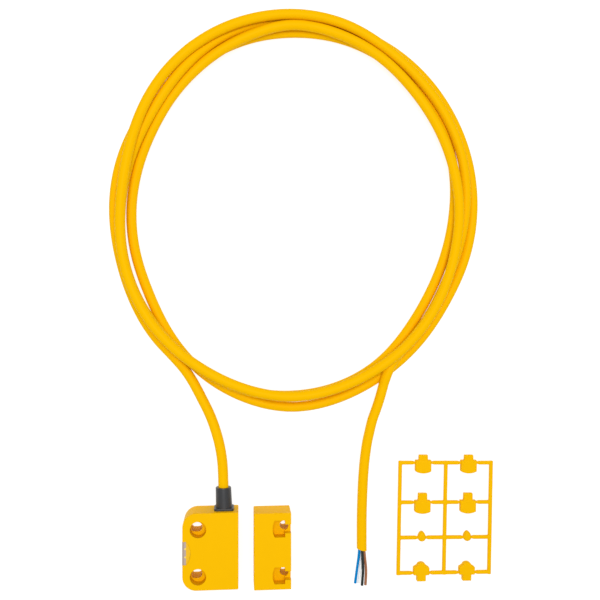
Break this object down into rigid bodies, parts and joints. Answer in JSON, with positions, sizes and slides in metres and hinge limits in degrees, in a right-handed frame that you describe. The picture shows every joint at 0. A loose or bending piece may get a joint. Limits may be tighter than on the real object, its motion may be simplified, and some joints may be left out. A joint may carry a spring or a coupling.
{
  "type": "magnetic safety switch",
  "caption": "Magnetic safety switch in yellow plastic: a cabled sensor with status window, its actuator, and a moulded frame of screw-hole covers.",
  "frame": {"origin": "centre of the sensor's back face", "axes": "+Z out of the front face, +X from the sensor towards the actuator, +Y along the sensor towards its cable"},
  "size_m": [0.1879, 0.2819, 0.013],
  "materials": {
    "yellow_case": "smooth satin moulding",
    "yellow_cable": "smooth satin cable jacket",
    "yellow_cover": "smooth satin moulding",
    "black_relief": "smooth satin soft plastic",
    "clear_lens": "clear, smooth",
    "dark_resin": "poured resin",
    "green_board": "lacquered board",
    "reed_glass": "clear glass tube",
    "led_body": "cast clear body",
    "resistor_body": "fired, dull",
    "magnet_ferrite": "sintered, dull",
    "core_blue": "smooth insulation",
    "core_white": "smooth insulation",
    "core_black": "smooth insulation",
    "core_brown": "smooth insulation"
  },
  "bodies": {
    "root": {"sensor_housing": "yellow_case", "sensor_back_fill": "dark_resin", "led_lens": "clear_lens", "strain_relief": "black_relief", "sensor_board": "green_board", "reed_switch_1": "reed_glass", "reed_switch_2": "reed_glass", "status_led_1": "led_body", "status_led_2": "led_body", "resistor_1": "resistor_body", "resistor_2": "resistor_body", "inner_lead_blue": "core_blue", "inner_lead_white": "core_white", "inner_lead_black": "core_black", "inner_lead_brown": "core_brown", "cable_lead": "yellow_cable", "cable_coil": "yellow_cable", "cable_tail": "yellow_cable", "core_blue": "core_blue", "core_white": "core_white", "core_black": "core_black", "core_brown": "core_brown", "actuator_housing": "yellow_case", "actuator_magnet_1": "magnet_ferrite", "actuator_magnet_2": "magnet_ferrite", "actuator_back_fill": "dark_resin", "cover_sprue": "yellow_cover"}
  },
  "joints": []
}
